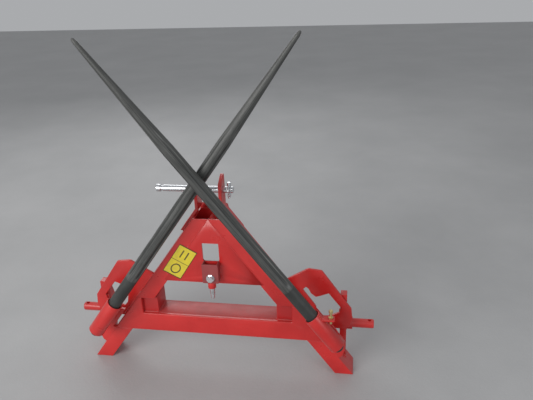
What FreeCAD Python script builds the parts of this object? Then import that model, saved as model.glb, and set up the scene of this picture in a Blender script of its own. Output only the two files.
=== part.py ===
import FreeCAD, Part
import math
import os
import re
import Sketcher

# Bale spear: a three-point linkage A-frame on its own feet, with two tines
# stowed crosswise in sleeves. X runs to the right, Y to the rear, Z up, and
# the front faces of the frame are drawn in the plane Y = 0. The files put the
# origin under the middle of the object's box. Lengths in millimetres.

SIZES = [
    ("lean", "36 deg", "slope of legs, feet, sleeves and tines from the vertical"),
    ("foot_half", "419 mm", "centre to outer edge of a foot on the floor"),
    ("leg_width", "45 mm", "front face of a leg, square to its edge"),
    ("section", "80 mm", "depth of legs and feet"),
    ("wall", "5 mm", "wall of the hollow sections"),
    ("rail_low", "117 mm", "underside of the cross rail"),
    ("rail_high", "180 mm", "top of the cross rail and its face plate"),
    ("leg_low", "237 mm", "lower end of the legs and top of the face plate ears"),
    ("post_over", "5.2 mm", "reach of a leg post inboard of its leg"),
    ("face_thick", "12 mm", "thickness of the face plate"),
    ("ear_wide", "12.8 mm", "top width of a face plate ear"),
    ("apex_cover", "14.8 mm", "level cut of the legs above the crossing of their inner edges"),
    ("gusset_tall", "209 mm", "height of the front gusset"),
    ("gusset_lap", "9 mm", "reach of the gussets over the legs"),
    ("rear_above", "15 mm", "top of the rear gusset above the legs"),
    ("rear_tall", "130 mm", "height of the rear gusset"),
    ("rear_thick", "6 mm", "thickness of the rear gusset"),
    ("window_wide", "49 mm", "width of the gusset window"),
    ("window_up", "73 mm", "lower edge of the window above the gusset's lower edge"),
    ("window_tall", "59 mm", "height of the window"),
    ("window_cut", "5 mm", "chamfer of the lower window corners"),
    ("clevis_gap", "62 mm", "clear width between the clevis ears"),
    ("clevis_thick", "9 mm", "plate of the clevis ears and their tails"),
    ("clevis_front", "18 mm", "front edge of the clevis ears"),
    ("clevis_deep", "48 mm", "width of the clevis plates"),
    ("clevis_above", "42 mm", "top of the clevis ears above the top-link pin"),
    ("tail_down", "47 mm", "reach of the clevis tails down the legs"),
    ("hitch_above", "75 mm", "top-link pin above the cut top of the legs"),
    ("hitch_deep", "43 mm", "top-link pin behind the front plane"),
    ("hitch_across", "19 mm", "diameter of the top-link pin"),
    ("hitch_right", "70 mm", "right end of the top-link pin"),
    ("hitch_left", "156 mm", "left end of the top-link pin"),
    ("hitch_play", "0.3 mm", "radial room of the top-link pin in its ears"),
    ("link_high", "130 mm", "lower-link pins above the floor"),
    ("link_deep", "88 mm", "lower-link pins behind the front plane"),
    ("link_across", "28 mm", "diameter of the lower-link pins"),
    ("link_collar", "18.5 mm", "collar between a strut and the shoulder of its pin"),
    ("link_free", "65.5 mm", "lower-link pin outboard of its shoulder"),
    ("link_hole", "12 mm", "linch hole of a lower-link pin"),
    ("strut_inset", "45 mm", "inner face of a strut inboard of the foot's outer edge"),
    ("strut_thick", "20 mm", "thickness of a strut"),
    ("strut_high", "249 mm", "top of a strut"),
    ("wing_front", "52 mm", "front face of the wing plates"),
    ("wing_thick", "8 mm", "thickness of the wing plates"),
    ("slot_wide", "9 mm", "slot between face plate and lug plate"),
    ("sleeve_out", "48.3 mm", "outer diameter of a sleeve"),
    ("sleeve_long", "126 mm", "length of a sleeve"),
    ("sleeve_off", "46 mm", "sleeve axis outboard of the leg line"),
    ("sleeve_mid", "196 mm", "middle of a sleeve above the floor"),
    ("sleeve_ahead", "52 mm", "middle of a sleeve ahead of the front plane"),
    ("sleeve_tip", "2.4 deg", "tilt that lets the tines pass each other"),
    ("seat_wide", "38 mm", "tine diameter at the top of its seat"),
    ("seat_small", "30 mm", "tine diameter at the foot of its seat"),
    ("seat_play", "0.3 mm", "radial room of a tine in its sleeve"),
    ("tine_long", "1100 mm", "length of a tine"),
    ("tine_below", "12 mm", "tine tail below the sleeve"),
    ("linch_across", "8 mm", "shank of a linch pin"),
    ("linch_play", "0.3 mm", "radial room of a linch pin in its hole"),
    ("ring_radius", "21 mm", "mean radius of a linch ring"),
    ("ring_wire", "3.2 mm", "wire of a linch ring"),
    ("ring_play", "0.05 mm", "radial room of the ring in the linch head"),
]

doc = FreeCAD.newDocument("bale_spear")
sizes = doc.addObject("Spreadsheet::Sheet", "sizes")
for row, (alias, value, meaning) in enumerate(SIZES, start=1):
    sizes.set(f"A{row}", value)
    sizes.setAlias(f"A{row}", alias)
    sizes.set(f"B{row}", meaning)
doc.recompute()

NAMES = sorted((alias for alias, value, meaning in SIZES), key=len, reverse=True)
WORDS = re.compile(r"\b(" + "|".join(NAMES) + r")\b")
finished = []


def bound(text):
    """Expression text with every size name pointing at the sheet."""
    return WORDS.sub(r"sizes.\1", str(text))


def outer(level):
    """Outer edge line of leg and foot at a level."""
    return f"(foot_half - ({level}) * tan(lean))"


def inner(level):
    """Inner edge line of leg and foot at a level."""
    return f"({outer(level)} - leg_width / cos(lean))"


def lapped(level):
    """Edge line of the apex gussets at a level."""
    return f"({inner(level)} + gusset_lap / cos(lean))"


def beside(level, gap):
    """Point at a level, a gap outboard of the outer edge line."""
    return f"{outer(level)} + {gap}", level


def mirrored(side, points):
    """The same outline on the left (-1) or right (1) of the centre plane."""
    return [(f"{side} * ({x})", y) for x, y in points]


def new_body(label):
    body = doc.addObject("PartDesign::Body", label)
    body.Label = label
    return body


def new_sketch(body, plane, offset="0 mm"):
    """Sketch on one of the body's origin planes, moved along its normal."""
    sketch = body.newObject("Sketcher::SketchObject", "outline")
    origin = [item for item in body.Origin.OriginFeatures if plane in item.Name][0]
    sketch.AttachmentSupport = (origin, [""])
    sketch.MapMode = "FlatFace"
    sketch.setExpression("AttachmentOffset.Base.z", bound(offset))
    return sketch


def add_loop(sketch, points):
    """Closed polygon whose corners are bound to expressions."""
    count = len(points)
    first = sketch.GeometryCount
    turns = [2 * math.pi * step / count for step in range(count)]
    corners = [FreeCAD.Vector(90 * math.cos(turn), 90 * math.sin(turn), 0) for turn in turns]
    for step in range(count):
        line = Part.LineSegment(corners[step], corners[(step + 1) % count])
        sketch.addGeometry(line, False)
    for step in range(count):
        follower = first + (step + 1) % count
        sketch.addConstraint(Sketcher.Constraint("Coincident", first + step, 2, follower, 1))
    for step, (across, along) in enumerate(points):
        for kind, text in (("DistanceX", across), ("DistanceY", along)):
            rule = Sketcher.Constraint(kind, -1, 1, first + step, 1, 50.0)
            number = sketch.addConstraint(rule)
            sketch.setExpression(f"Constraints[{number}]", bound(text))


def add_circle(sketch, across, along, radius):
    """Circle with centre and radius bound to expressions."""
    number = sketch.addGeometry(Part.Circle(FreeCAD.Vector(50, 50, 0), FreeCAD.Vector(0, 0, 1), 5), False)
    rules = (
        (Sketcher.Constraint("DistanceX", -1, 1, number, 3, 50.0), across),
        (Sketcher.Constraint("DistanceY", -1, 1, number, 3, 50.0), along),
        (Sketcher.Constraint("Radius", number, 5.0), radius),
    )
    for rule, text in rules:
        place = sketch.addConstraint(rule)
        sketch.setExpression(f"Constraints[{place}]", bound(text))


def pad(body, sketch, length, backwards=False):
    feature = body.newObject("PartDesign::Pad", "pad")
    feature.Profile = sketch
    feature.setExpression("Length", bound(length))
    feature.Reversed = backwards
    body.Tip = feature
    return feature


def pocket(body, sketch, length="0 mm", backwards=False, whole=False):
    feature = body.newObject("PartDesign::Pocket", "pocket")
    feature.Profile = sketch
    if whole:
        feature.Type = "ThroughAll"
        feature.Midplane = True
    else:
        feature.setExpression("Length", bound(length))
    feature.Reversed = backwards
    body.Tip = feature
    return feature


def plate(label, points, front, thickness):
    """Flat plate parallel to the front plane, from Y = front rearwards."""
    body = new_body(label)
    sketch = new_sketch(body, "XZ", f"-({front})")
    add_loop(sketch, points)
    pad(body, sketch, thickness, backwards=True)
    return body


def cut_front(body, points, front, depth):
    """Pocket with a polygon outline, from Y = front rearwards."""
    sketch = new_sketch(body, "XZ", f"-({front})")
    add_loop(sketch, points)
    pocket(body, sketch, depth)


def bore_side(body, deep, high, radius):
    """Round hole through the body along X."""
    sketch = new_sketch(body, "YZ")
    add_circle(sketch, deep, high, radius)
    pocket(body, sketch, whole=True)


def turned(label, profile):
    """Body of revolution about its own Z axis; profile is (radius, height)."""
    body = new_body(label)
    sketch = new_sketch(body, "XZ")
    add_loop(sketch, profile)
    feature = body.newObject("PartDesign::Revolution", "turning")
    feature.Profile = sketch
    feature.ReferenceAxis = (sketch, ["V_Axis"])
    feature.Angle = 360
    body.Tip = feature
    return body


def set_place(item, base, turn):
    """Bind the position and the rotation of an object."""
    spot = "; ".join(bound(text) for text in base)
    item.setExpression("Placement", f"placement(vector({spot}); {bound(turn)})")


def rounded(body, sketch_corners, radius):
    """Fillet the Y-direction edges that stand on the given sketch corners."""
    doc.recompute()
    solid = body.Tip
    sketch = [item for item in body.Group if item.isDerivedFrom("Sketcher::SketchObject")][0]
    spots = [sketch.Geometry[number].StartPoint for number in sketch_corners]
    names = []
    for number, edge in enumerate(solid.Shape.Edges, start=1):
        ends = [vertex.Point for vertex in edge.Vertexes]
        if len(ends) != 2 or abs(ends[0].y - ends[1].y) < 1:
            continue
        if any(math.hypot(ends[0].x - spot.x, ends[0].z - spot.y) < 0.01 for spot in spots):
            names.append(f"Edge{number}")
    feature = body.newObject("PartDesign::Fillet", "rounding")
    feature.Base = (solid, names)
    feature.Radius = radius
    body.Tip = feature


def finish(item, label):
    """Register an object as a finished piece under its file name."""
    item.Label = label
    finished.append(item)


def part_cut(label, base, tool):
    """Boolean difference of two objects, kept as one piece."""
    feature = doc.addObject("Part::Cut", label)
    feature.Base = base
    feature.Tool = tool
    return feature


# Legs: hollow sections from their posts to the apex, mitred on the centre
# plane, with the front wall cut back where the apex gusset lies in it. The
# levels of all that stands at the apex follow the crossing of the legs.

apex = "((foot_half - leg_width / cos(lean)) / tan(lean))"
leg_high = f"({apex} + apex_cover)"
gusset_low = f"({leg_high} - gusset_tall)"
hitch_high = f"({leg_high} + hitch_above)"

for side, word in ((-1, "left"), (1, "right")):
    shape = [
        (inner("leg_low"), "leg_low"),
        (outer("leg_low"), "leg_low"),
        (outer(leg_high), leg_high),
        ("0 mm", leg_high),
        ("0 mm", apex),
    ]
    leg = plate(f"leg_{word}", mirrored(side, shape), "0 mm", "section")
    low = "(leg_low - 10 mm)"
    high = f"({leg_high} + 10 mm)"
    inset = "wall / cos(lean)"
    hollow = [
        (f"{inner(low)} + {inset}", low),
        (f"{outer(low)} - {inset}", low),
        (f"{outer(high)} - {inset}", high),
        (f"{inner(high)} + {inset}", high),
    ]
    cut_front(leg, mirrored(side, hollow), "wall", "section - 2 * wall")
    seat = [
        (lapped(gusset_low), gusset_low),
        (lapped(high), high),
        ("-60 mm", high),
        ("-60 mm", gusset_low),
    ]
    cut_front(leg, mirrored(side, seat), "0 mm", "wall")
    finish(leg, f"leg_{word}")


# Feet: the same hollow section carried on from the rail to the floor.

for side, word in ((-1, "left"), (1, "right")):
    shape = [
        (inner("0 mm"), "0 mm"),
        (outer("0 mm"), "0 mm"),
        (outer("rail_low"), "rail_low"),
        (inner("rail_low"), "rail_low"),
    ]
    foot = plate(f"foot_{word}", mirrored(side, shape), "0 mm", "section")
    low = "(-10 mm)"
    high = "(rail_low + 10 mm)"
    inset = "wall / cos(lean)"
    hollow = [
        (f"{inner(low)} + {inset}", low),
        (f"{outer(low)} - {inset}", low),
        (f"{outer(high)} - {inset}", high),
        (f"{inner(high)} + {inset}", high),
    ]
    cut_front(foot, mirrored(side, hollow), "wall", "section - 2 * wall")
    finish(foot, f"foot_{word}")


# Cross rail: a box section behind a thick face plate with two raised ears.

rail_shape = [
    (f"-{outer('rail_low')}", "rail_low"),
    (outer("rail_low"), "rail_low"),
    (outer("rail_high"), "rail_high"),
    (f"-{outer('rail_high')}", "rail_high"),
]
rail = plate("cross_rail", rail_shape, "face_thick", "section - face_thick")
rail_hollow = [
    ("-(foot_half)", "rail_low + wall"),
    ("foot_half", "rail_low + wall"),
    ("foot_half", "rail_high - wall"),
    ("-(foot_half)", "rail_high - wall"),
]
cut_front(rail, rail_hollow, "face_thick + wall", "section - face_thick - 2 * wall")
finish(rail, "cross_rail")

ear_start = f"({outer('leg_low')} - ear_wide)"
face_shape = [
    (f"-{outer('rail_low')}", "rail_low"),
    (outer("rail_low"), "rail_low"),
    (outer("leg_low"), "leg_low"),
    (ear_start, "leg_low"),
    (ear_start, "rail_high"),
    (f"-{ear_start}", "rail_high"),
    (f"-{ear_start}", "leg_low"),
    (f"-{outer('leg_low')}", "leg_low"),
]
face = plate("face_plate", face_shape, "0 mm", "face_thick")
rounded(face, (4, 5), 4)
finish(face, "face_plate")


# Posts: short closed blocks on the rail, behind the face plate, under the legs.

for side, word in ((-1, "left"), (1, "right")):
    post_in = f"({inner('leg_low')} - post_over)"
    shape = [
        (post_in, "rail_high"),
        (outer("rail_high"), "rail_high"),
        (outer("leg_low"), "leg_low"),
        (post_in, "leg_low"),
    ]
    post = plate(f"leg_post_{word}", mirrored(side, shape), "face_thick", "section - face_thick")
    finish(post, f"leg_post_{word}")


# Apex gussets: the front one lies flush in the legs and has the window, the
# rear one closes the back of the apex and stands higher.

gusset_shape = [
    (f"-{lapped(gusset_low)}", gusset_low),
    (lapped(gusset_low), gusset_low),
    (lapped(leg_high), leg_high),
    (f"-{lapped(leg_high)}", leg_high),
]
gusset = plate("apex_gusset", gusset_shape, "0 mm", "wall")
window_low = f"({gusset_low} + window_up)"
window = [
    ("-window_wide / 2 + window_cut", window_low),
    ("window_wide / 2 - window_cut", window_low),
    ("window_wide / 2", f"{window_low} + window_cut"),
    ("window_wide / 2", f"{window_low} + window_tall"),
    ("-window_wide / 2", f"{window_low} + window_tall"),
    ("-window_wide / 2", f"{window_low} + window_cut"),
]
cut_front(gusset, window, "0 mm", "wall")
finish(gusset, "apex_gusset")

rear_low = f"({leg_high} + rear_above - rear_tall)"
rear_shape = [
    (f"-{lapped(rear_low)}", rear_low),
    (lapped(rear_low), rear_low),
    ("56 mm", f"{leg_high} - 58 mm"),
    ("40 mm", f"{leg_high} + rear_above"),
    ("-40 mm", f"{leg_high} + rear_above"),
    ("-56 mm", f"{leg_high} - 58 mm"),
]
rear = plate("rear_gusset", rear_shape, "section", "rear_thick")
rounded(rear, (3, 4), 6)
finish(rear, "rear_gusset")


# Clevis: two ears for the top-link pin, each bent into a tail that lies on
# the outer flange of its leg.

for side, word in ((-1, "left"), (1, "right")):
    inside = "clevis_gap / 2"
    outside = "(clevis_gap / 2 + clevis_thick)"
    skin = "clevis_thick / cos(lean)"
    clevis_high = f"({hitch_high} + clevis_above)"
    tail_low = f"({leg_high} - tail_down)"
    shape = [
        (inside, clevis_high),
        (outside, clevis_high),
        (outside, f"(foot_half + {skin} - {outside}) / tan(lean)"),
        (f"{outer(tail_low)} + {skin}", tail_low),
        (outer(tail_low), tail_low),
        (inside, f"(foot_half - {inside}) / tan(lean)"),
    ]
    ear = plate(f"clevis_{word}", mirrored(side, shape), "clevis_front", "clevis_deep")
    bore_side(ear, "hitch_deep", hitch_high, "hitch_across / 2 + hitch_play")
    brow = new_sketch(ear, "YZ")
    back = "clevis_front + clevis_deep"
    add_loop(brow, [
        ("clevis_front - 20 mm", f"{clevis_high} - 20 mm"),
        ("clevis_front", f"{clevis_high} - 20 mm"),
        (f"{back} - 12 mm", clevis_high),
        (f"{back} - 5 mm", clevis_high),
        (back, f"{clevis_high} - 8 mm"),
        (f"{back} + 20 mm", f"{clevis_high} - 8 mm"),
        (f"{back} + 20 mm", f"{clevis_high} + 20 mm"),
        ("clevis_front - 20 mm", f"{clevis_high} + 20 mm"),
    ])
    pocket(ear, brow, whole=True)
    finish(ear, f"clevis_{word}")


# Top-link pin with its round head on the left and a linch hole on the right.

hitch = turned("top_link_pin", [
    ("0 mm", "-hitch_right"),
    ("hitch_across / 2 - 1.5 mm", "-hitch_right"),
    ("hitch_across / 2", "-hitch_right + 1.5 mm"),
    ("hitch_across / 2", "hitch_left - 21 mm"),
    ("hitch_across / 2 - 2 mm", "hitch_left - 19 mm"),
    ("hitch_across / 2 - 2 mm", "hitch_left - 15 mm"),
    ("hitch_across / 2 + 1.5 mm", "hitch_left - 13 mm"),
    ("hitch_across / 2 + 1.5 mm", "hitch_left - 2 mm"),
    ("hitch_across / 2 - 1 mm", "hitch_left"),
    ("0 mm", "hitch_left"),
])
bore_side(hitch, "0 mm", "-hitch_right + 12 mm", "linch_across / 2 + linch_play")
set_place(hitch, ("0 mm", "hitch_deep", hitch_high), "rotation(vector(0; 1; 0); -90 deg)")
finish(hitch, "top_link_pin")


# Linch pin through the end of the top-link pin, and its spring ring, which
# turns on a straight chord of wire in the head.

linch_x = "hitch_right - 12 mm"
hinge_up = "(hitch_across / 2 + 7 mm)"
chord = "7 mm"
linch = turned("linch_pin", [
    ("0 mm", "-hitch_across / 2 - 12 mm"),
    ("linch_across / 2 - 2 mm", "-hitch_across / 2 - 12 mm"),
    ("linch_across / 2", "-hitch_across / 2 - 8 mm"),
    ("linch_across / 2", "hitch_across / 2 + 0.5 mm"),
    ("6 mm", "hitch_across / 2 + 1.5 mm"),
    ("6 mm", "hitch_across / 2 + 11 mm"),
    ("4 mm", "hitch_across / 2 + 12.5 mm"),
    ("0 mm", "hitch_across / 2 + 12.5 mm"),
])
eye = new_sketch(linch, "XZ")
add_circle(eye, "0 mm", hinge_up, "ring_wire / 2 + ring_play")
pocket(linch, eye, whole=True)
set_place(linch, (linch_x, "hitch_deep", hitch_high), "rotation(vector(0; 1; 0); 0 deg)")
finish(linch, "linch_pin")

loop = doc.addObject("Part::Torus", "ring_loop")
loop.setExpression("Radius1", bound("ring_radius"))
loop.setExpression("Radius2", bound("ring_wire / 2"))
loop.setExpression("Angle3", bound(f"360 deg - 2 * asin({chord} / ring_radius)"))
set_place(loop, ("0 mm", "0 mm", "0 mm"), f"rotation(vector(0; 0; 1); asin({chord} / ring_radius))")
bar = doc.addObject("Part::Cylinder", "ring_bar")
bar.setExpression("Radius", bound("ring_wire / 2"))
bar.setExpression("Height", bound(f"2 * {chord} + 2 mm"))
reach = f"sqrt(ring_radius ^ 2 - ({chord}) ^ 2)"
set_place(bar, (reach, f"-({chord}) - 1 mm", "0 mm"), "rotation(vector(1; 0; 0); -90 deg)")
ring = doc.addObject("Part::MultiFuse", "linch_ring")
ring.Shapes = [loop, bar]
drop = f"{hitch_high} + {hinge_up} - {reach}"
set_place(ring, (linch_x, "hitch_deep", drop), "rotation(vector(0; 1; 0); -90 deg)")
finish(ring, "linch_ring")


# Wing plates with their bent opening, behind the sleeves.

for side, word in ((-1, "left"), (1, "right")):
    shape = [
        beside("294 mm", "0 mm"),
        beside("338 mm", "103.6 mm"),
        beside("333 mm", "141.9 mm"),
        beside("205 mm", "137.9 mm"),
        beside("172 mm", "117 mm"),
        beside("139 mm", "86 mm"),
        beside("131 mm", "67.2 mm"),
        beside("131 mm", "0 mm"),
    ]
    wing = plate(f"wing_{word}", mirrored(side, shape), "wing_front", "wing_thick")
    opening = [
        beside("265 mm", "34.5 mm"),
        beside("275 mm", "51.8 mm"),
        beside("268 mm", "54.7 mm"),
        beside("253 mm", "50.8 mm"),
        beside("241 mm", "56.1 mm"),
        beside("245 mm", "72 mm"),
        beside("256 mm", "106 mm"),
        beside("206 mm", "107.7 mm"),
        beside("190 mm", "92 mm"),
        beside("176 mm", "55.9 mm"),
        beside("167 mm", "20.3 mm"),
        beside("182 mm", "19.2 mm"),
        beside("208 mm", "33.1 mm"),
    ]
    rounded(wing, (1, 2), 10)
    rounded(wing, (3, 4, 5, 6), 9)
    cut_front(wing, mirrored(side, opening), "wing_front", "wing_thick")
    finish(wing, f"wing_{word}")


# Struts: thick plates square to the wings that carry the lower-link pins and
# stand on the outer flange of the feet.

strut_in = "(foot_half - strut_inset)"
strut_out = f"({strut_in} + strut_thick)"
for side, word in ((-1, "left"), (1, "right")):
    strut = new_body(f"strut_{word}")
    wall_side = new_sketch(strut, "YZ", f"{side} * {strut_in}")
    rear = "(wing_front + wing_thick)"
    add_loop(wall_side, [
        (rear, "strut_high"),
        (f"{rear} + 26 mm", "strut_high"),
        ("link_deep + 24 mm", "link_high + 36 mm"),
        ("link_deep + 27 mm", "link_high - 10 mm"),
        ("link_deep + 10 mm", "link_high - 44 mm"),
        ("section - 4 mm", "20 mm"),
        ("section / 2", "20 mm"),
        ("section / 2", "54 mm"),
        (rear, "78 mm"),
    ])
    pad(strut, wall_side, "strut_thick", backwards=(side < 0))
    bore_side(strut, "link_deep", "link_high", "link_across / 2 + 0.2 mm")
    sole = new_sketch(strut, "XZ")
    add_loop(sole, mirrored(side, [
        (outer("-30 mm"), "-30 mm"),
        (outer("160 mm"), "160 mm"),
        ("200 mm", "160 mm"),
        ("200 mm", "-30 mm"),
    ]))
    pocket(strut, sole, whole=True)
    finish(strut, f"strut_{word}")


# Lower-link pins with a shoulder collar and a linch hole.

link_shoulder = f"({strut_out} + link_collar)"
link_end = f"({link_shoulder} + link_free)"
for side, word in ((-1, "left"), (1, "right")):
    pin = turned(f"lower_link_pin_{word}", [
        ("0 mm", f"{strut_in} - 26 mm"),
        ("link_across / 2", f"{strut_in} - 26 mm"),
        ("link_across / 2", strut_out),
        ("link_across / 2 + 6 mm", strut_out),
        ("link_across / 2 + 6 mm", link_shoulder),
        ("link_across / 2", link_shoulder),
        ("link_across / 2", f"{link_end} - 2 mm"),
        ("link_across / 2 - 2 mm", link_end),
        ("0 mm", link_end),
    ])
    bore_side(pin, "0 mm", f"{link_end} - 13 mm", "link_hole / 2")
    turn = f"rotation(vector(0; 1; 0); {side * 90} deg)"
    set_place(pin, ("0 mm", "link_deep", "link_high"), turn)
    finish(pin, f"lower_link_pin_{word}")


# Lug plates outboard of the slots, the webs on them, the sleeves the webs
# carry, and the tines. Left and right tip apart, so that the tines cross.

def sleeve_place(side):
    """Middle point and rotation that a sleeve and its tine share."""
    across = f"{side} * ({outer('sleeve_mid')} + sleeve_off / cos(lean))"
    turn = f"rotation(vector(1; 0; 0); {side} * sleeve_tip) * rotation(vector(0; 1; 0); {-side} * lean)"
    return (across, "-sleeve_ahead", "sleeve_mid"), turn


def sleeve_core(side):
    """Round bar of the sleeve's outer size, to cut what is welded to it."""
    core = turned("sleeve_core", [
        ("0 mm", "-sleeve_long"),
        ("sleeve_out / 2", "-sleeve_long"),
        ("sleeve_out / 2", "sleeve_long"),
        ("0 mm", "sleeve_long"),
    ])
    set_place(core, *sleeve_place(side))
    return core


for side, word in ((-1, "left"), (1, "right")):
    gap = "slot_wide / cos(lean)"
    lug = plate(f"lug_{word}", mirrored(side, [
        beside("60 mm", "0 mm"),
        beside("121 mm", "0 mm"),
        beside("121 mm", gap),
        beside("188 mm", gap),
        beside("sleeve_mid", "sleeve_off / cos(lean) + 6 mm"),
        beside("sleeve_mid - 78 mm", "sleeve_off / cos(lean) + 2 mm"),
        beside("88 mm", "35.9 mm"),
        beside("68 mm", "14.4 mm"),
    ]), "0 mm", "face_thick")
    rounded(lug, (4, 5, 6, 7), 7)
    finish(lug, f"lug_{word}")

    spot, turn = sleeve_place(side)
    sleeve = turned(f"sleeve_{word}", [
        ("seat_small / 2 + seat_play", "-sleeve_long / 2"),
        ("sleeve_out / 2", "-sleeve_long / 2"),
        ("sleeve_out / 2", "sleeve_long / 2"),
        ("seat_wide / 2 + 3 mm", "sleeve_long / 2"),
        ("seat_wide / 2 + seat_play", "sleeve_long / 2 - 3 mm"),
    ])
    set_place(sleeve, spot, turn)
    finish(sleeve, f"sleeve_{word}")

    tine = turned(f"tine_{word}", [
        ("0 mm", "-sleeve_long / 2 - tine_below"),
        ("seat_small / 2 - 2 mm", "-sleeve_long / 2 - tine_below"),
        ("seat_small / 2", "-sleeve_long / 2 - tine_below + 2 mm"),
        ("seat_small / 2", "-sleeve_long / 2"),
        ("seat_wide / 2", "sleeve_long / 2 - 3 mm"),
        ("seat_wide / 2", "sleeve_long / 2 + 90 mm"),
        ("seat_wide / 2 - 1.5 mm", "tine_long - 420 mm"),
        ("6 mm", "tine_long - sleeve_long / 2 - tine_below - 12 mm"),
        ("3 mm", "tine_long - sleeve_long / 2 - tine_below"),
        ("0 mm", "tine_long - sleeve_long / 2 - tine_below"),
    ])
    flutes = new_sketch(tine, "XY", "sleeve_long / 2 + 110 mm")
    for x, y in ((1, 1), (1, -1), (-1, 1), (-1, -1)):
        add_circle(flutes, f"{x} * 15 mm", f"{y} * 15 mm", "6 mm")
    pocket(tine, flutes, "tine_long - 300 mm", backwards=True)
    set_place(tine, spot, turn)
    finish(tine, f"tine_{word}")

    block = doc.addObject("Part::Box", "web_block")
    block.setExpression("Length", "10 mm")
    block.setExpression("Width", bound("sleeve_ahead"))
    block.setExpression("Height", bound("sleeve_long - 26 mm"))
    along = "(sleeve_long / 2 - 13 mm)"
    corner = (
        f"{spot[0]} + {side} * {along} * sin(lean) - 5 mm * cos(lean)",
        "-sleeve_ahead",
        f"sleeve_mid - {along} * cos(lean) - {side} * 5 mm * sin(lean)",
    )
    set_place(block, corner, f"rotation(vector(0; 1; 0); {-side} * lean)")
    finish(part_cut(f"web_{word}", block, sleeve_core(side)), f"web_{word}")


# Tab on the right sleeve and the loose lock pin that stands in it.

tab_level = "(sleeve_mid + sleeve_long / 2 * cos(lean) - 7 mm)"
tab_x = f"({outer(tab_level)} + sleeve_off / cos(lean) + sleeve_out / 2 / cos(lean))"
tab_box = plate("tab_blank", [
    (f"{tab_x} - 20 mm", tab_level),
    (f"{tab_x} + 30 mm", tab_level),
    (f"{tab_x} + 30 mm", f"{tab_level} + 5 mm"),
    (f"{tab_x} - 20 mm", f"{tab_level} + 5 mm"),
], "-sleeve_ahead - 14 mm", "24 mm")
tab_hole = new_sketch(tab_box, "XY")
add_circle(tab_hole, f"{tab_x} + 19 mm", "-sleeve_ahead - 2 mm", "linch_across / 2 + linch_play")
pocket(tab_box, tab_hole, whole=True)
finish(part_cut("lock_tab", tab_box, sleeve_core(1)), "lock_tab")

lock = turned("lock_pin", [
    ("0 mm", "-16 mm"),
    ("linch_across / 2 - 2 mm", "-16 mm"),
    ("linch_across / 2", "-13 mm"),
    ("linch_across / 2", "5.3 mm"),
    ("7 mm", "5.3 mm"),
    ("7 mm", "9 mm"),
    ("linch_across / 2", "10 mm"),
    ("linch_across / 2", "22 mm"),
    ("6 mm", "24 mm"),
    ("6 mm", "30 mm"),
    ("4 mm", "32 mm"),
    ("0 mm", "32 mm"),
])
lock_spot = (f"{tab_x} + 19 mm", "-sleeve_ahead - 2 mm", tab_level)
set_place(lock, lock_spot, "rotation(vector(0; 1; 0); 0 deg)")
finish(lock, "lock_pin")


# Folded bracket under the window with its bolt, collar and tapered stud.

bracket_low = f"({gusset_low} + 13 mm)"
bolt_level = f"({bracket_low} + 18 mm)"
bracket = plate("stud_bracket", [
    ("-24 mm", bracket_low),
    ("24 mm", bracket_low),
    ("24 mm", f"{bracket_low} + 62 mm"),
    ("-24 mm", f"{bracket_low} + 62 mm"),
], "-24 mm", "24 mm")
rounded(bracket, (0, 1, 2, 3), 3)
cut_front(bracket, [
    ("-20 mm", f"{bracket_low} - 10 mm"),
    ("20 mm", f"{bracket_low} - 10 mm"),
    ("20 mm", f"{bracket_low} + 72 mm"),
    ("-20 mm", f"{bracket_low} + 72 mm"),
], "-20 mm", "20 mm")
bolt_hole = new_sketch(bracket, "XZ")
add_circle(bolt_hole, "0 mm", bolt_level, "6.3 mm")
pocket(bracket, bolt_hole, whole=True)
finish(bracket, "stud_bracket")

gusset_hole = new_sketch(gusset, "XZ")
add_circle(gusset_hole, "0 mm", bolt_level, "6.3 mm")
pocket(gusset, gusset_hole, whole=True)

bolt = new_body("bracket_bolt")
for front, length, radius in (("-26 mm", "2 mm", "12 mm"), ("-24 mm", "42 mm", "6 mm")):
    disc = new_sketch(bolt, "XZ", f"-({front})")
    add_circle(disc, "0 mm", bolt_level, radius)
    pad(bolt, disc, length, backwards=True)
for front, length in (("-34 mm", "8 mm"), ("5 mm", "9 mm")):
    hexagon = new_sketch(bolt, "XZ", f"-({front})")
    turns = [f"{60 * step} deg" for step in range(6)]
    add_loop(hexagon, [
        (f"10.4 mm * cos({turn_by})", f"{bolt_level} + 10.4 mm * sin({turn_by})") for turn_by in turns
    ])
    pad(bolt, hexagon, length, backwards=True)
finish(bolt, "bracket_bolt")

collar = turned("stud_collar", [
    ("6.3 mm", "-20 mm"),
    ("12 mm", "-20 mm"),
    ("12 mm", "0 mm"),
    ("6.3 mm", "0 mm"),
])
set_place(collar, ("0 mm", "-12.5 mm", bracket_low), "rotation(vector(0; 1; 0); 0 deg)")
finish(collar, "stud_collar")

stud = turned("stud", [
    ("0 mm", "-58 mm"),
    ("4 mm", "-58 mm"),
    ("6 mm", "-56 mm"),
    ("8 mm", "-27 mm"),
    ("8 mm", "-20.3 mm"),
    ("6 mm", "-20.3 mm"),
    ("6 mm", "2 mm"),
    ("0 mm", "2 mm"),
])
set_place(stud, ("0 mm", "-12.5 mm", bracket_low), "rotation(vector(0; 1; 0); 0 deg)")
finish(stud, "stud")


# Check every object and shape, then write one STEP file per piece, moved so
# that the origin lies under the middle of the whole object's box.

doc.recompute()
for item in doc.Objects:
    if "Invalid" in item.State or "Error" in item.State:
        raise RuntimeError(f"{item.Label} did not compute: {item.State}")
for item in finished:
    if item.Shape.isNull() or not item.Shape.isValid():
        raise RuntimeError(f"{item.Label} has no valid shape")
boxes = [item.Shape.optimalBoundingBox(False, False) for item in finished]
middle = (min(box.YMin for box in boxes) + max(box.YMax for box in boxes)) / 2
print(f"front plane at Y = {-middle:.4f} mm")
os.makedirs("parts", exist_ok=True)
for item in finished:
    shape = item.Shape.translated(FreeCAD.Vector(0, -middle, 0))
    shape.exportStep(f"parts/{item.Label}.step")
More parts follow.
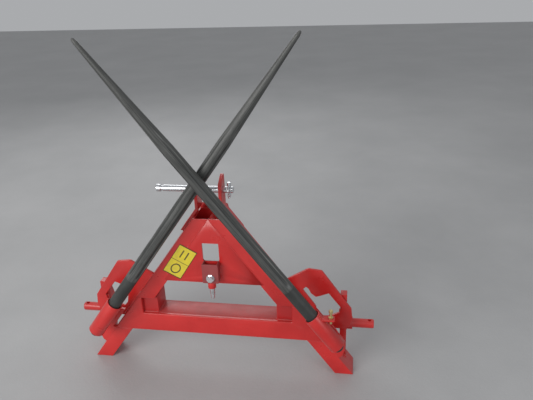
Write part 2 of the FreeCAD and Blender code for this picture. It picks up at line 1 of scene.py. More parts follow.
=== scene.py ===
import bpy
import bmesh
import math
import numpy as np
from mathutils import Matrix, Vector


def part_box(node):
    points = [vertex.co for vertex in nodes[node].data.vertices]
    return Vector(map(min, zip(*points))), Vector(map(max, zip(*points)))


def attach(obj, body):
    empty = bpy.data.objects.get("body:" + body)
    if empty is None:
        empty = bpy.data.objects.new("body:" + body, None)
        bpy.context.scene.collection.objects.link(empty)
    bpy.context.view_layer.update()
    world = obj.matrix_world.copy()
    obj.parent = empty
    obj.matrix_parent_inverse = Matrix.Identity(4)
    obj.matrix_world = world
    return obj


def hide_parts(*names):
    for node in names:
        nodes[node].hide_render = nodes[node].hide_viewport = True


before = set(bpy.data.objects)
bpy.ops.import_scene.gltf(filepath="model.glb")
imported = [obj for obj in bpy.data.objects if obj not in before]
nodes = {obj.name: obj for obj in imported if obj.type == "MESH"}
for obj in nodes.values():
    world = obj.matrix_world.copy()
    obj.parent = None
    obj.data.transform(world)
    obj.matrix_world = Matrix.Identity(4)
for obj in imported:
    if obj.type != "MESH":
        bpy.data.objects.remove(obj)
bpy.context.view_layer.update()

# ---------------------------------------------------------------- legs, feet
# The A-frame's legs and feet are welded hollow steel sections on one slope.
# They are cut with a saw, their edges are dressed, and all of it is sprayed
# with one coat of red enamel after welding.

lean = math.radians(36)
foot_half = 0.419
leg_width = 0.045
leg_low = 0.237
leg_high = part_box("leg_left")[1].z
rail_low = 0.117
rail_high = 0.180
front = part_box("face_plate")[0].y
section = 0.080


def outer(level):
    """Outer edge of leg and foot at a level: a straight line on the slope."""
    return foot_half - level * math.tan(lean)


def inner(level):
    """Inner edge: the outer one less the leg's width across the slope."""
    return outer(level) - leg_width / math.cos(lean)


def link(tree, value, socket):
    """Feeds a socket with a number, a colour or another node's output."""
    if isinstance(value, bpy.types.NodeSocket):
        tree.links.new(value, socket)
    else:
        socket.default_value = value


def noise(tree, where, scale, detail=4.0, rough=0.55, stretch=(1, 1, 1)):
    """Fractal noise, 0 to 1, on coordinates scaled by stretch."""
    mapping = tree.nodes.new("ShaderNodeMapping")
    mapping.inputs["Scale"].default_value = stretch
    tree.links.new(where, mapping.inputs["Vector"])
    texture = tree.nodes.new("ShaderNodeTexNoise")
    texture.inputs["Scale"].default_value = scale
    texture.inputs["Detail"].default_value = detail
    texture.inputs["Roughness"].default_value = rough
    tree.links.new(mapping.outputs["Vector"], texture.inputs["Vector"])
    return texture.outputs["Fac"]


def remap(tree, value, low, high, to_low=0.0, to_high=1.0):
    """Straight ramp from low..high to to_low..to_high, held at both ends."""
    ramp = tree.nodes.new("ShaderNodeMapRange")
    for name, number in (("From Min", low), ("From Max", high), ("To Min", to_low), ("To Max", to_high)):
        ramp.inputs[name].default_value = number
    link(tree, value, ramp.inputs["Value"])
    return ramp.outputs["Result"]


def sums(tree, kind, first, second=0.0):
    """One arithmetic step on numbers."""
    step = tree.nodes.new("ShaderNodeMath")
    step.operation = kind
    link(tree, first, step.inputs[0])
    link(tree, second, step.inputs[1])
    return step.outputs[0]


def blended(tree, share, first, second):
    """Colour that goes from first to second as share goes from 0 to 1."""
    mix = tree.nodes.new("ShaderNodeMix")
    mix.data_type = "RGBA"
    link(tree, share, mix.inputs["Factor"])
    link(tree, first, mix.inputs["A"])
    link(tree, second, mix.inputs["B"])
    return mix.outputs["Result"]


def bumped(tree, height, depth, below=None):
    """Surface normal tilted by a height pattern whose full rise is depth."""
    bump = tree.nodes.new("ShaderNodeBump")
    bump.inputs["Strength"].default_value = 1.0
    bump.inputs["Distance"].default_value = depth
    tree.links.new(height, bump.inputs["Height"])
    if below is not None:
        tree.links.new(below, bump.inputs["Normal"])
    return bump.outputs["Normal"]


def new_material(name):
    """Empty principled material: (material, tree, shader, object coordinates)."""
    material = bpy.data.materials.new(name)
    material.use_nodes = True
    tree = material.node_tree
    where = tree.nodes.new("ShaderNodeTexCoord")
    return material, tree, tree.nodes["Principled BSDF"], where


def facing_up(tree):
    """0 on walls and undersides, 1 on level top faces."""
    geometry = tree.nodes.new("ShaderNodeNewGeometry")
    parts = tree.nodes.new("ShaderNodeSeparateXYZ")
    tree.links.new(geometry.outputs["Normal"], parts.inputs[0])
    return remap(tree, parts.outputs["Z"], 0.15, 0.95)


def enamel(name, colour, dull=0.0, worn=0.5):
    """Sprayed enamel on steel: a cloudy coat, orange peel, fine scratches,
    dust on top faces, and chips down to dark steel along the edges."""
    dust_colour = (0.235, 0.150, 0.135, 1)
    bare_steel = (0.085, 0.062, 0.055, 1)
    material, tree, shader, where = new_material(name)
    spot = where.outputs["Object"]
    red, green, blue = colour
    deep = (red * 0.80, green * 0.62, blue * 0.66, 1)
    light = (min(red * 1.10, 1), green * 1.35, blue * 1.35, 1)
    coat = blended(tree, remap(tree, noise(tree, spot, 7.0, 5), 0.3, 0.7), deep, light)
    rubs = remap(tree, noise(tree, spot, 22.0, 8, 0.7), 0.60, 0.78, 0.0, 0.28)
    coat = blended(tree, rubs, coat, (red * 0.92, green * 3.2, blue * 3.2, 1))
    lines = remap(tree, noise(tree, spot, 60.0, 3, 0.5, (1.0, 1.0, 14.0)), 0.66, 0.72, 0.0, 0.35)
    coat = blended(tree, lines, coat, (red * 0.75, green * 2.4, blue * 2.4, 1))
    level = facing_up(tree)
    dust = sums(tree, "MULTIPLY", level, remap(tree, noise(tree, spot, 35.0, 7, 0.65), 0.25, 0.75))
    dust = sums(tree, "MULTIPLY", dust, 0.20 + 0.3 * dull)
    coat = blended(tree, dust, coat, dust_colour)
    soft = tree.nodes.new("ShaderNodeBevel")
    soft.samples = 4
    soft.inputs["Radius"].default_value = 0.0022
    geometry = tree.nodes.new("ShaderNodeNewGeometry")
    turn = tree.nodes.new("ShaderNodeVectorMath")
    turn.operation = "DOT_PRODUCT"
    tree.links.new(soft.outputs["Normal"], turn.inputs[0])
    tree.links.new(geometry.outputs["Normal"], turn.inputs[1])
    edge = remap(tree, turn.outputs["Value"], 0.995, 0.80)
    chips = remap(tree, noise(tree, spot, 75.0, 9, 0.72), 0.66 - 0.06 * worn, 0.72 - 0.05 * worn)
    chips = sums(tree, "MULTIPLY", chips, edge)
    coat = blended(tree, chips, coat, bare_steel)
    tree.links.new(coat, shader.inputs["Base Color"])
    rough = remap(tree, noise(tree, spot, 16.0, 6, 0.6), 0.25, 0.75, 0.24 + 0.22 * dull, 0.40 + 0.22 * dull)
    rough = sums(tree, "ADD", rough, sums(tree, "MULTIPLY", dust, 0.6))
    tree.links.new(rough, shader.inputs["Roughness"])
    shader.inputs["Coat Weight"].default_value = 0.25 - 0.15 * dull
    shader.inputs["Coat Roughness"].default_value = 0.18
    peel = bumped(tree, noise(tree, spot, 520.0, 2, 0.5), 0.00012)
    wave = bumped(tree, noise(tree, spot, 28.0, 3, 0.5), 0.0006, peel)
    tree.links.new(bumped(tree, chips, -0.00025, wave), shader.inputs["Normal"])
    return material


def dressed(node, width, material, steps=3):
    """Joined copy of a solid piece with its sharp edges rounded to a width."""
    piece = bpy.data.objects.new(node + "_dressed", nodes[node].data.copy())
    bpy.context.scene.collection.objects.link(piece)
    shell = bmesh.new()
    shell.from_mesh(piece.data)
    bmesh.ops.remove_doubles(shell, verts=shell.verts, dist=1e-6)
    bmesh.ops.dissolve_limit(shell, angle_limit=math.radians(0.5), verts=shell.verts, edges=shell.edges)
    shell.to_mesh(piece.data)
    shell.free()
    piece.data.materials.clear()
    piece.data.materials.append(material)
    piece.data.shade_smooth()
    edges = piece.modifiers.new("edges", "BEVEL")
    edges.width = width
    edges.segments = steps
    edges.limit_method = "ANGLE"
    edges.angle_limit = math.radians(35)
    edges.harden_normals = True
    edges.use_clamp_overlap = True
    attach(piece, "frame")
    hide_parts(node)


red_enamel = enamel("red_enamel", (0.60, 0.022, 0.020))
# A darker copy of the same red enamel, used as painted shade: it darkens the rail's top band, the recessed
# posts and the rear gusset, which carry the same paint as the rest.
painted_shade_enamel = enamel("painted_shade_enamel", (0.50, 0.018, 0.018), dull=0.5)

for side in ("left", "right"):
    dressed(f"leg_{side}", 0.0022, red_enamel)
    dressed(f"foot_{side}", 0.0022, red_enamel)


# -------------------------------------------------------- rail and its posts
# The cross rail is a box section behind a thick face plate with raised ears.
# Short posts on the rail carry the leg ends. Welds are laid by hand with wire
# and left as they are where they don't show from the front.

def surface(name, spots, quads, material, body="frame", uv=None, join=False, angle=40):
    """Mesh object from arrays: spots (n, 3), quads (m, 4), uv (m, 4, 2)."""
    mesh = bpy.data.meshes.new(name)
    mesh.from_pydata(spots.tolist(), [], quads.tolist())
    if uv is not None:
        layer = mesh.uv_layers.new(name="UVMap")
        layer.data.foreach_set("uv", uv.reshape(-1))
    if join:
        shell = bmesh.new()
        shell.from_mesh(mesh)
        bmesh.ops.remove_doubles(shell, verts=shell.verts, dist=1e-6)
        bmesh.ops.recalc_face_normals(shell, faces=shell.faces)
        shell.to_mesh(mesh)
        shell.free()
    mesh.materials.append(material)
    mesh.shade_smooth()
    mesh.set_sharp_from_angle(angle=math.radians(angle))
    piece = bpy.data.objects.new(name, mesh)
    bpy.context.scene.collection.objects.link(piece)
    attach(piece, body)
    return piece


def tube_faces(rows, sides):
    """Four-sided faces round a tube of rows rings with as many points as sides."""
    index = np.arange(rows * sides).reshape(rows, sides)
    low, high = index[:-1], index[1:]
    return np.stack([low, np.roll(low, -1, 1), np.roll(high, -1, 1), high], axis=2).reshape(-1, 4)


def bead(name, points, radius, sink=0.0, towards=(0, 1, 0), pitch=0.0034, material=None):
    """Weld bead: a circle carried along a line of points. Its radius rises and
    falls once per pitch, like scales, and shrinks to nothing at both ends. The
    line is pushed by sink in the direction towards, into the steel."""
    sides = 12
    corners = np.array(points, float) + np.array(towards, float) * sink
    steps = np.linalg.norm(np.diff(corners, axis=0), axis=1)
    places = np.concatenate([[0], np.cumsum(steps)])
    count = max(8, int(places[-1] / pitch * 6))
    along = np.linspace(0, places[-1], count)
    line = np.stack([np.interp(along, places, corners[:, axis]) for axis in range(3)], axis=1)
    seed = sum(map(ord, name))
    wander = 0.08 * radius * np.sin(along / 0.011 + seed) + 0.05 * radius * np.sin(along / 0.0043 + 2 * seed)
    scale = (along / pitch + seed) % 1.0
    ripple = 0.14 * np.sqrt(np.clip(1 - (2 * scale - 1) ** 2, 0, 1))
    swell = 0.90 + ripple + 0.06 * np.sin(along / 0.017 + seed)
    ends = np.clip(np.minimum(along, places[-1] - along) / (1.3 * radius), 0, 1)
    girth = radius * swell * np.sqrt(1 - (1 - ends) ** 2)
    tangent = np.gradient(line, axis=0)
    tangent /= np.linalg.norm(tangent, axis=1)[:, None] + 1e-12
    helper = np.array([0.31, 0.83, 0.47]) if abs(tangent[0, 1]) < 0.8 else np.array([0.9, 0.1, 0.42])
    first = np.cross(tangent, helper)
    first /= np.linalg.norm(first, axis=1)[:, None]
    second = np.cross(tangent, first)
    turn = np.linspace(0, 2 * np.pi, sides, endpoint=False)
    ring = np.cos(turn)[None, :, None] * first[:, None] + np.sin(turn)[None, :, None] * second[:, None]
    spots = line[:, None] + ring * girth[:, None, None] + first[:, None] * wander[:, None, None]
    surface(name, spots.reshape(-1, 3), tube_faces(count, sides), material or red_enamel, join=True)


def across(side, level, depth, start, end):
    """Level seam across a leg: from start to end, away from the middle."""
    return [(side * start, depth, level), (side * end, depth, level)]


def inwards(side, away, level, start, end):
    """Level seam that runs fore and aft: from depth start to depth end."""
    return [(side * away, start, level), (side * away, end, level)]


dressed("face_plate", 0.0026, red_enamel, steps=4)
# The rail, the posts under the legs and the posts' seams take the darker enamel: painted shade on the rail's
# top band and in the recess under the leg ends.
dressed("cross_rail", 0.0022, painted_shade_enamel)
post_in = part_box("leg_post_right")[0].x
post_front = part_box("leg_post_right")[0].y
post_out = outer(rail_high) - 0.002
back = front + section
seam_end = back - 0.003
corner_bead = 0.0034
back_bead = 0.003
back_proud = -0.0016
ground_bead = 0.0018
ground_sink = 0.0012
for side, word in ((-1, "left"), (1, "right")):
    leg_in, leg_out = inner(leg_low), outer(leg_low)
    foot_in, foot_out = inner(rail_low), outer(rail_low)
    dressed(f"leg_post_{word}", 0.0015, painted_shade_enamel)
    bead(f"weld_post_foot_{word}", across(side, rail_high, post_front, post_in, post_out),
         corner_bead, material=painted_shade_enamel)
    bead(f"weld_post_side_{word}", inwards(side, post_in, rail_high, post_front, seam_end),
         corner_bead, material=painted_shade_enamel)
    bead(f"weld_post_back_{word}", across(side, rail_high, back, post_in, post_out),
         back_bead, sink=back_proud)
    bead(f"weld_leg_back_{word}", across(side, leg_low, back, leg_in, leg_out),
         back_bead, sink=back_proud)
    bead(f"weld_leg_side_{word}", inwards(side, leg_out, leg_low, front + 0.014, seam_end),
         0.0028, sink=0.0012, towards=(-side, 0, 0))
    bead(f"weld_foot_back_{word}", across(side, rail_low, back, foot_in, foot_out),
         back_bead, sink=back_proud)
    bead(f"weld_foot_under_{word}", inwards(side, foot_in, rail_low, front + 0.006, seam_end),
         corner_bead)
    bead(f"weld_foot_front_{word}", across(side, rail_low, front, foot_in, foot_out),
         ground_bead, sink=ground_sink)


# ------------------------------------------------------------- apex gussets
# Two plates join the legs at the apex. The front one is let in flush, with
# its seams ground nearly flat, and has a window. The rear one laps the legs
# and is welded all round.

gusset_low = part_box("apex_gusset")[0].z
lap = 0.009


def lapped(level):
    """Edge of the gussets: the legs' inner edge moved outwards by the lap."""
    return inner(level) + lap / math.cos(lean)


dressed("apex_gusset", 0.0008, red_enamel, steps=2)
# The rear gusset takes the darker enamel too: painted shade behind the front plates.
dressed("rear_gusset", 0.0012, painted_shade_enamel, steps=2)
seam_high = leg_high - 0.006
rear_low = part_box("rear_gusset")[0].z
rear_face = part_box("rear_gusset")[0].y
shoulder_half = 0.056
crown_half = 0.044
fillet_bead = 0.0036
for side, word in ((-1, "left"), (1, "right")):
    bead(f"weld_gusset_{word}", [
        (side * lapped(gusset_low), front, gusset_low), (side * lapped(seam_high), front, seam_high)],
        0.0021, sink=0.0013, pitch=0.0028)
    bead(f"weld_rear_gusset_{word}", [
        (side * lapped(rear_low), rear_face, rear_low), (side * shoulder_half, rear_face, leg_high - 0.058),
        (side * crown_half, rear_face, leg_high - 0.004)], fillet_bead)


# ------------------------------------------------------------------- clevis
# Two bent ears for the top-link pin. Their tails lie on the legs' outer
# flanges and are fillet welded along both edges and across the end.

tail_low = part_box("clevis_right")[0].z
tail_high = tail_low + 0.045
tail_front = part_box("clevis_right")[0].y
tail_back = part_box("clevis_right")[1].y
for side, word in ((-1, "left"), (1, "right")):
    dressed(f"clevis_{word}", 0.0014, red_enamel)
    bead(f"weld_tail_{word}", [
        (side * outer(tail_high), tail_front, tail_high), (side * outer(tail_low), tail_front, tail_low),
        (side * outer(tail_low), tail_back, tail_low), (side * outer(tail_high), tail_back, tail_high)],
        fillet_bead)


# ----------------------------------------------------- top-link and linch pin
# A turned pin with a round head and a linch pin through its end, both zinc
# plated. The linch pin's wire ring snaps down over the big pin's end.

def zinc(name, colour, stain, rough):
    """Plated steel: bright metal with a fine crystal pattern, turning marks,
    dull handling stains and a few darker specks."""
    material, tree, shader, where = new_material(name)
    spot = where.outputs["Object"]
    grain = remap(tree, noise(tree, spot, 260.0, 3, 0.6), 0.3, 0.7, 0.0, 0.35)
    coat = blended(tree, grain, (*colour, 1), (colour[0] * 0.72, colour[1] * 0.74, colour[2] * 0.78, 1))
    marks = remap(tree, noise(tree, spot, 45.0, 6, 0.65), 0.52, 0.75, 0.0, 0.55)
    coat = blended(tree, marks, coat, (*stain, 1))
    specks = remap(tree, noise(tree, spot, 420.0, 4, 0.6), 0.70, 0.74, 0.0, 0.7)
    coat = blended(tree, specks, coat, (0.10, 0.075, 0.055, 1))
    tree.links.new(coat, shader.inputs["Base Color"])
    shader.inputs["Metallic"].default_value = 0.92
    tree.links.new(remap(tree, marks, 0.0, 0.55, rough, rough + 0.25), shader.inputs["Roughness"])
    turned = noise(tree, spot, 700.0, 2, 0.5, (1.0, 0.05, 0.05))
    tree.links.new(bumped(tree, turned, 0.00006), shader.inputs["Normal"])
    return material


def plated(node, material):
    """Gives a turned or bent piece its material, on its own faces."""
    faces = nodes[node].data
    faces.materials.clear()
    faces.materials.append(material)


white_zinc = zinc("white_zinc", (0.78, 0.79, 0.81), (0.42, 0.42, 0.41), 0.20)
spring_wire = zinc("spring_wire", (0.80, 0.81, 0.83), (0.50, 0.50, 0.50), 0.14)
plated("top_link_pin", white_zinc)
plated("linch_pin", white_zinc)
plated("linch_ring", spring_wire)


# -------------------------------------------- wings, struts, lower-link pins
# Cut plates beside the legs stiffen thick struts, which stand on the feet and
# carry the lower-link pins. Each pin has a collar and a hole for a linch pin,
# and is painted with the frame.

wing_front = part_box("wing_right")[0].y
wing_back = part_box("wing_right")[1].y
wing_low = 0.133
wing_high = 0.292
strut_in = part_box("strut_right")[0].x
strut_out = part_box("strut_right")[1].x
strut_low = 0.136
strut_high = 0.200
strut_front = front + section / 2
pin_axis = (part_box("lower_link_pin_right")[0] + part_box("lower_link_pin_right")[1]) / 2
pin_seams = (("out", strut_out, 0.0202), ("in", strut_in, 0.0142))
ring_steps = 40


def slope_level(away):
    """Level at which the outer edge is this far from the middle."""
    return (foot_half - away) / math.tan(lean)


turn = np.linspace(0, 2 * np.pi, ring_steps)
for side, word in ((-1, "left"), (1, "right")):
    dressed(f"wing_{word}", 0.0014, red_enamel)
    dressed(f"strut_{word}", 0.0014, red_enamel)
    dressed(f"lower_link_pin_{word}", 0.0006, red_enamel, steps=2)
    for face, depth in (("front", wing_front), ("back", wing_back)):
        bead(f"weld_wing_{face}_{word}", [
            (side * outer(wing_low), depth, wing_low), (side * outer(wing_high), depth, wing_high)],
            fillet_bead)
    for face, away in (("in", strut_in), ("out", strut_out)):
        bead(f"weld_strut_{face}_{word}", [
            (side * away, wing_back, strut_low), (side * away, wing_back, strut_high)], corner_bead)
    bead(f"weld_strut_foot_{word}", [
        (side * strut_out, back - 0.006, slope_level(strut_out)),
        (side * strut_out, strut_front, slope_level(strut_out)),
        (side * strut_in, strut_front, slope_level(strut_in))], corner_bead)
    for face, away, radius in pin_seams:
        ring = np.stack([np.full(ring_steps, side * away), pin_axis.y + radius * np.cos(turn),
                         pin_axis.z + radius * np.sin(turn)], axis=1)
        bead(f"weld_pin_{face}_{word}", ring, 0.0028)


# ------------------------------------------------- lugs, webs and sleeves
# Cut lug plates stand off the rail by a slot. A web on each carries a piece
# of thick pipe, the sleeve, whose bore is tapered for the tine.

tip = math.radians(2.4)
sleeve_middle = 0.196
sleeve_off = 0.046
sleeve_ahead = 0.052
sleeve_long = 0.126
sleeve_radius = 0.02415
plate = 0.012
lug_low = 0.062
lug_high = 0.119
web_half = 0.0052
web_seam = 0.050


def sleeve_frame(side):
    """Middle of a sleeve and its axis: the slope, tipped fore or aft."""
    away = outer(sleeve_middle) + sleeve_off / math.cos(lean)
    middle = np.array([side * away, front - sleeve_ahead, sleeve_middle])
    sideways, up = -side * math.sin(lean), math.cos(lean)
    axis = np.array([sideways, -math.sin(side * tip) * up, math.cos(tip) * up])
    return middle, axis


for side, word in ((-1, "left"), (1, "right")):
    dressed(f"lug_{word}", 0.0016, red_enamel)
    dressed(f"web_{word}", 0.0010, red_enamel, steps=2)
    dressed(f"sleeve_{word}", 0.0014, red_enamel)
    middle, axis = sleeve_frame(side)
    square = np.cross([0, 1, 0], axis)
    square /= np.linalg.norm(square)
    slope = np.array([-side * math.sin(lean), 0, math.cos(lean)])
    outwards = np.array([math.cos(lean), 0, side * math.sin(lean)])
    for name, shift in (("a", -1), ("b", 1)):
        base = np.array([middle[0], front, middle[2]]) + shift * web_half * outwards
        bead(f"weld_web_lug_{name}_{word}", [base - web_seam * slope, base + 0.016 * slope], corner_bead)
        skin = middle + np.array([0, sleeve_radius - 0.0005, 0]) + shift * 0.0056 * square
        bead(f"weld_web_sleeve_{name}_{word}", [skin - web_seam * axis, skin + web_seam * axis], corner_bead)
    bead(f"weld_lug_back_{word}", [
        (side * outer(lug_low), front + plate, lug_low), (side * outer(lug_high), front + plate, lug_high)],
        corner_bead)
    bead(f"weld_lug_front_{word}", [
        (side * outer(lug_low), front, lug_low), (side * outer(lug_high), front, lug_high)],
        ground_bead, sink=ground_sink)


# -------------------------------------------------------------------- tines
# Forged bars painted black. Four flutes run up each one from a scarf above
# the sleeve, and the last third tapers to a blunt point. Handling has rubbed
# the ridges beside the flutes grey.

tine_long = 1.100
tine_foot = -sleeve_long / 2 - 0.012
tine_profile = [
    (0.0, 0.013), (0.002, 0.015), (0.012, 0.015), (0.135, 0.019), (0.228, 0.019),
    (0.755, 0.0175), (1.088, 0.006), (1.097, 0.0042), (tine_long, 0.0022)]
flute_start = 0.248
flute_spread = 0.015
flute_radius = 0.006


def tine_paint():
    """Black paint in long streaks, grey where the ridge attribute is high."""
    material, tree, shader, where = new_material("tine_black")
    sheet = where.outputs["UV"]
    ridge = tree.nodes.new("ShaderNodeAttribute")
    ridge.attribute_name = "ridge"
    streak = noise(tree, sheet, 5.0, 7, 0.65, (9.0, 1.3, 1.0))
    fine = noise(tree, sheet, 40.0, 5, 0.6, (4.0, 0.5, 1.0))
    blotch = noise(tree, where.outputs["Object"], 18.0, 6, 0.6)
    coat = blended(tree, remap(tree, blotch, 0.3, 0.7), (0.020, 0.022, 0.021, 1), (0.040, 0.043, 0.041, 1))
    coat = blended(tree, remap(tree, streak, 0.55, 0.80, 0.0, 0.5), coat, (0.085, 0.085, 0.080, 1))
    rub = sums(tree, "MULTIPLY", ridge.outputs["Fac"], remap(tree, streak, 0.38, 0.60))
    rub = sums(tree, "MULTIPLY", rub, remap(tree, fine, 0.30, 0.60, 0.25, 0.85))
    coat = blended(tree, rub, coat, (0.26, 0.26, 0.25, 1))
    dust = sums(tree, "MULTIPLY", facing_up(tree), remap(tree, fine, 0.3, 0.7, 0.10, 0.35))
    coat = blended(tree, dust, coat, (0.16, 0.155, 0.145, 1))
    tree.links.new(coat, shader.inputs["Base Color"])
    tree.links.new(remap(tree, streak, 0.3, 0.7, 0.34, 0.52), shader.inputs["Roughness"])
    skin = bumped(tree, fine, 0.00035)
    tree.links.new(bumped(tree, blotch, 0.0008, skin), shader.inputs["Normal"])
    return material


def fluted(height, turn):
    """Radius of the fluted bar at a height and an angle: the turned profile,
    or where it is nearer the axis, the wall of a round flute. The flutes fade
    in over a slanted scarf."""
    heights, radii = zip(*tine_profile)
    round_bar = np.interp(height, heights, radii)
    away = (turn + np.pi / 4) % (np.pi / 2) - np.pi / 4
    centre = flute_spread * math.sqrt(2)
    inside = flute_radius ** 2 - (centre * np.sin(away)) ** 2
    wall = np.where(inside > 0, centre * np.cos(away) - np.sqrt(np.clip(inside, 0, None)), 1.0)
    scarf = flute_start + 0.030 + 0.018 * np.sin(away * 4 + 1.0)
    fade = np.clip((height - flute_start) / (scarf - flute_start), 0, 1)
    grown = fade * fade * (3 - 2 * fade)
    depth = np.clip(round_bar - wall, 0, None) * grown
    return round_bar - depth, depth


black_paint = tine_paint()
tine_sides = 96
rows = np.concatenate([
    [0.0, 0.0008, 0.002, 0.004], np.linspace(0.01, 0.24, 24), np.linspace(flute_start, 0.33, 40),
    np.linspace(0.335, 1.085, 190), np.linspace(1.088, tine_long, 9)])
turns = np.linspace(0, 2 * np.pi, tine_sides, endpoint=False)
height, angle = np.meshgrid(rows, turns + np.pi / 4, indexing="ij")
for side, word in ((-1, "left"), (1, "right")):
    middle, axis = sleeve_frame(side)
    radius, depth = fluted(height, angle)
    twist = 0.006 * np.sin(height / 0.031 + 2 * side) * np.sin(2 * angle)
    forged = 1 + twist + 0.004 * np.sin(height / 0.0137)
    radius = radius * np.minimum(forged, 1.0)
    level, rise = math.cos(side * tip), math.sin(side * tip)
    tilt = np.array([[1, 0, 0], [0, level, -rise], [0, rise, level]])
    spin_x = tilt @ np.array([math.cos(lean), 0, side * math.sin(lean)])
    spin_y = np.cross(axis, spin_x)
    spots = (middle + (tine_foot + height)[..., None] * axis
             + (radius * np.cos(angle - np.pi / 4))[..., None] * spin_x
             + (radius * np.sin(angle - np.pi / 4))[..., None] * spin_y)
    corner = np.stack(np.meshgrid(np.arange(tine_sides + 1) / tine_sides, rows, indexing="xy"), axis=2)
    uv = np.stack([corner[:-1, :-1], corner[:-1, 1:], corner[1:, 1:], corner[1:, :-1]], axis=2)
    ends = np.array([middle + tine_foot * axis, middle + (tine_foot + tine_long) * axis])
    spots = np.concatenate([spots.reshape(-1, 3), ends])
    quads = tube_faces(len(rows), tine_sides)
    tine = surface(f"tine_{word}_forged", spots, quads, black_paint, uv=uv, angle=50)
    shell = bmesh.new()
    shell.from_mesh(tine.data)
    shell.verts.ensure_lookup_table()
    foot, point = len(spots) - 2, len(spots) - 1
    first_rim = np.arange(tine_sides)
    last_rim = first_rim + height.size - tine_sides
    for centre, rim in ((foot, first_rim[::-1]), (point, last_rim)):
        for spot, following in zip(rim, np.roll(rim, -1)):
            shell.faces.new([shell.verts[centre], shell.verts[spot], shell.verts[following]])
    for face in shell.faces:
        face.smooth = True
    shell.to_mesh(tine.data)
    shell.free()
    edge = np.clip(1 - np.abs(depth - 0.0006) / 0.0010, 0, 1) * (height > flute_start)
    tipped = np.clip((height - 1.02) / 0.06, 0, 1) * 0.6
    ridge = tine.data.attributes.new("ridge", "FLOAT", "POINT")
    ridge.data.foreach_set("value", np.concatenate([np.maximum(edge, tipped).reshape(-1), [0, 1]]))
    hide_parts(f"tine_{word}")


# --------------------------------------------------------------- lock pin
# A loose locking pin stands in a tab on the right sleeve. It is yellow
# passivated, with a dark knob.

yellow_zinc = zinc("yellow_zinc", (0.72, 0.58, 0.28), (0.40, 0.30, 0.16), 0.28)
dressed("lock_tab", 0.0010, red_enamel, steps=2)
plated("lock_pin", yellow_zinc)


# ------------------------------------------------- stud bracket and its stud
# A folded bracket under the window, its paint faded brown, bolted to the
# gusset. A collar under it holds a turned, tapered stud.

worn_enamel = enamel("worn_enamel", (0.30, 0.045, 0.045), dull=0.9, worn=1.0)
dressed("stud_bracket", 0.0010, worn_enamel, steps=2)
dressed("stud_collar", 0.0010, red_enamel, steps=2)
plated("bracket_bolt", white_zinc)
plated("stud", white_zinc)


# ------------------------------------------------------------------ sticker
# A plain yellow film on the left leg and gusset, with a thin dark border, a
# dividing line and two plain shapes. It is pressed on after painting.

def sticker_film():
    """Yellow film; border, divider, disc and bar come from its UV map."""
    material, tree, shader, where = new_material("sticker_film")
    parts = tree.nodes.new("ShaderNodeSeparateXYZ")
    tree.links.new(where.outputs["UV"], parts.inputs[0])
    u, v = parts.outputs["X"], parts.outputs["Y"]
    from_u = sums(tree, "ABSOLUTE", sums(tree, "SUBTRACT", u, 0.5))
    from_v = sums(tree, "ABSOLUTE", sums(tree, "SUBTRACT", v, 0.5))
    rim = sums(tree, "GREATER_THAN", sums(tree, "MAXIMUM", from_u, from_v), 0.475)
    divide = sums(tree, "LESS_THAN", from_u, 0.008)
    wide = sums(tree, "MULTIPLY", sums(tree, "SUBTRACT", u, 0.25), 1.5)
    tall = sums(tree, "SUBTRACT", v, 0.5)
    square = sums(tree, "ADD", sums(tree, "MULTIPLY", wide, wide), sums(tree, "MULTIPLY", tall, tall))
    away = sums(tree, "SQRT", square)
    ring = sums(tree, "LESS_THAN", sums(tree, "ABSOLUTE", sums(tree, "SUBTRACT", away, 0.22)), 0.03)
    bar_u = sums(tree, "ABSOLUTE", sums(tree, "SUBTRACT", u, 0.75))
    bar = sums(tree, "MULTIPLY", sums(tree, "LESS_THAN", bar_u, 0.13),
               sums(tree, "LESS_THAN", sums(tree, "ABSOLUTE", sums(tree, "SUBTRACT", from_v, 0.14)), 0.035))
    ink = sums(tree, "MAXIMUM", sums(tree, "MAXIMUM", rim, divide), sums(tree, "MAXIMUM", ring, bar))
    scuff = noise(tree, where.outputs["Object"], 60.0, 7, 0.65)
    film = blended(tree, remap(tree, scuff, 0.35, 0.75), (0.76, 0.62, 0.035, 1), (0.62, 0.50, 0.06, 1))
    ink = sums(tree, "MULTIPLY", ink, remap(tree, scuff, 0.62, 0.75, 0.92, 0.55))
    tree.links.new(blended(tree, ink, film, (0.030, 0.028, 0.022, 1)), shader.inputs["Base Color"])
    tree.links.new(remap(tree, scuff, 0.3, 0.7, 0.28, 0.45), shader.inputs["Roughness"])
    tree.links.new(bumped(tree, scuff, 0.0002), shader.inputs["Normal"])
    return material


corners = np.array([(-0.152, 0.341), (-0.100, 0.313), (-0.040, 0.405), (-0.089, 0.433)])
count = 24
s, t = np.meshgrid(np.linspace(0, 1, count), np.linspace(0, 1, count), indexing="xy")
flat = (corners[0] * ((1 - s) * (1 - t))[..., None] + corners[3] * (s * (1 - t))[..., None]
        + corners[2] * (s * t)[..., None] + corners[1] * ((1 - s) * t)[..., None])
curl_reach = 0.18
lift = 0.0007 + 0.0004 * np.clip((curl_reach - np.hypot(s - 1, t)) / curl_reach, 0, 1)
spots = np.stack([flat[..., 0], front - lift, flat[..., 1]], axis=2)
index = np.arange(count * count).reshape(count, count)
a, b = index[:-1], index[1:]
quads = np.stack([a[:, :-1], b[:, :-1], b[:, 1:], a[:, 1:]], axis=2).reshape(-1, 4)
grid = np.stack([s, t], axis=2)
uv = np.stack([grid[:-1, :-1], grid[1:, :-1], grid[1:, 1:], grid[:-1, 1:]], axis=2).reshape(-1, 4, 2)
sticker = surface("sticker", spots.reshape(-1, 3), quads, sticker_film(), uv=uv)
film = sticker.modifiers.new("film", "SOLIDIFY")
film.thickness = 0.0004
film.offset = 0


# --------------------------------------------------- floor, light and camera
# A pale floor, a broad lamp from the front left, a weaker one from the right
# and an even sky.

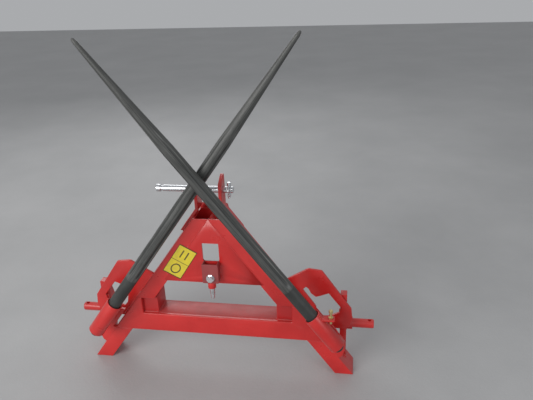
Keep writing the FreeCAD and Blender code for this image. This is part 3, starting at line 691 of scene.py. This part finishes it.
def floor_finish():
    """Pale trowelled floor: broad clouds, faint specks, nearly matt."""
    material, tree, shader, where = new_material("pale_floor")
    spot = where.outputs["Object"]
    clouds = remap(tree, noise(tree, spot, 1.6, 7, 0.6), 0.3, 0.7)
    coat = blended(tree, clouds, (0.370, 0.372, 0.375, 1), (0.445, 0.446, 0.448, 1))
    specks = remap(tree, noise(tree, spot, 140.0, 4, 0.6), 0.6, 0.75, 0.0, 0.25)
    coat = blended(tree, specks, coat, (0.30, 0.30, 0.30, 1))
    tree.links.new(coat, shader.inputs["Base Color"])
    tree.links.new(remap(tree, clouds, 0.0, 1.0, 0.50, 0.62), shader.inputs["Roughness"])
    tree.links.new(bumped(tree, noise(tree, spot, 90.0, 5, 0.6), 0.0006), shader.inputs["Normal"])
    return material


reach = 9.0
spots = np.array([(-reach, -reach, 0), (reach, -reach, 0), (reach, reach, 0), (-reach, reach, 0)], float)
mesh = bpy.data.meshes.new("floor")
mesh.from_pydata(spots.tolist(), [], [(0, 1, 2, 3)])
mesh.materials.append(floor_finish())
floor = bpy.data.objects.new("floor", mesh)
bpy.context.scene.collection.objects.link(floor)

world = bpy.data.worlds.new("studio")
bpy.context.scene.world = world
world.use_nodes = True
sky = world.node_tree.nodes["Background"]
sky.inputs["Color"].default_value = (0.95, 0.97, 1.0, 1)
sky.inputs["Strength"].default_value = 0.42


def lamp(name, place, aim, wide, tall, power, colour):
    """Rectangular soft lamp that faces a point."""
    light = bpy.data.lights.new(name, "AREA")
    light.shape = "RECTANGLE"
    light.size = wide
    light.size_y = tall
    light.energy = power
    light.color = colour
    stand = bpy.data.objects.new(name, light)
    bpy.context.scene.collection.objects.link(stand)
    away = np.array(aim, float) - np.array(place, float)
    slant = math.atan2(math.hypot(away[0], away[1]), -away[2])
    stand.location = place
    stand.rotation_euler = (slant, 0, math.atan2(away[1], away[0]) - math.pi / 2)


lamp("key", (-2.1, -3.0, 1.9), (0, 0, 0.35), 2.6, 1.8, 105, (1.0, 0.99, 0.97))
lamp("fill", (2.8, -2.2, 1.6), (0, 0, 0.3), 1.6, 1.4, 22, (0.96, 0.98, 1.0))
lamp("rim", (-1.2, 2.6, 2.2), (0, 0, 0.4), 2.2, 1.2, 26, (1.0, 1.0, 1.0))

azimuth, pitch, roll = math.radians(9.657), math.radians(23.994), math.radians(2.211)
ahead = Vector((-math.sin(azimuth) * math.cos(pitch), math.cos(azimuth) * math.cos(pitch), -math.sin(pitch)))
right = Vector((math.cos(azimuth), math.sin(azimuth), 0))
down = ahead.cross(right)
side_row = right * math.cos(roll) + down * math.sin(roll)
down_row = -right * math.sin(roll) + down * math.cos(roll)
camera = bpy.data.objects.new("camera", bpy.data.cameras.new("camera"))
camera.data.sensor_width = 36.0
camera.data.lens = 37.05987
place = Vector((0.398466, front - 1.342587, 1.187028))
camera.matrix_world = Matrix((
    (side_row.x, -down_row.x, -ahead.x, place.x),
    (side_row.y, -down_row.y, -ahead.y, place.y),
    (side_row.z, -down_row.z, -ahead.z, place.z),
    (0, 0, 0, 1)))
bpy.context.scene.collection.objects.link(camera)
bpy.context.scene.camera = camera
bpy.context.scene.view_settings.view_transform = "Standard"
